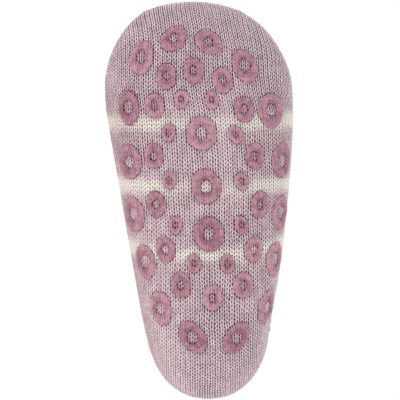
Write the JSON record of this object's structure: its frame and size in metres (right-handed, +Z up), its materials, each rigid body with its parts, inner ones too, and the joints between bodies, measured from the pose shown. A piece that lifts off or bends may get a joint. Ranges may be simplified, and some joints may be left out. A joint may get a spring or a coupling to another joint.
{
  "type": "slipper sock",
  "caption": "Toddler's knitted slipper sock in the shape of a worn foot, lying on its side, with rubber grip rings printed on the sole.",
  "frame": {"origin": "centre of the bounding box, at the level of the surface the sock lies on", "axes": "+X from toe to heel, +Y from the sole to the collar, +Z up; the sock lies on its big-toe side"},
  "size_m": [0.1358, 0.089, 0.0641],
  "materials": {
    "sock_knit": "marl jersey knit, mauve pink with cream stripes",
    "grip_rubber": "soft printed rubber, slightly glossy, mauve pink"
  },
  "bodies": {
    "root": {"knitted_sock": "sock_knit", "grip_ring_01": "grip_rubber", "grip_ring_02": "grip_rubber", "grip_ring_03": "grip_rubber", "grip_ring_04": "grip_rubber", "grip_ring_05": "grip_rubber", "grip_ring_06": "grip_rubber", "grip_ring_07": "grip_rubber", "grip_ring_08": "grip_rubber", "grip_ring_09": "grip_rubber", "grip_ring_10": "grip_rubber", "grip_ring_11": "grip_rubber", "grip_ring_12": "grip_rubber", "grip_ring_13": "grip_rubber", "grip_ring_14": "grip_rubber", "grip_ring_15": "grip_rubber", "grip_ring_16": "grip_rubber", "grip_ring_17": "grip_rubber", "grip_ring_18": "grip_rubber", "grip_ring_19": "grip_rubber", "grip_ring_20": "grip_rubber", "grip_ring_21": "grip_rubber", "grip_ring_22": "grip_rubber", "grip_ring_23": "grip_rubber", "grip_ring_24": "grip_rubber", "grip_ring_25": "grip_rubber", "grip_ring_26": "grip_rubber", "grip_ring_27": "grip_rubber", "grip_ring_28": "grip_rubber", "grip_ring_29": "grip_rubber", "grip_ring_30": "grip_rubber", "grip_ring_31": "grip_rubber", "grip_ring_32": "grip_rubber", "grip_ring_33": "grip_rubber", "grip_ring_34": "grip_rubber", "grip_ring_35": "grip_rubber", "grip_ring_36": "grip_rubber", "grip_ring_37": "grip_rubber", "grip_ring_38": "grip_rubber", "grip_ring_39": "grip_rubber", "grip_ring_40": "grip_rubber", "grip_ring_41": "grip_rubber", "grip_ring_42": "grip_rubber", "grip_ring_43": "grip_rubber"}
  },
  "joints": []
}
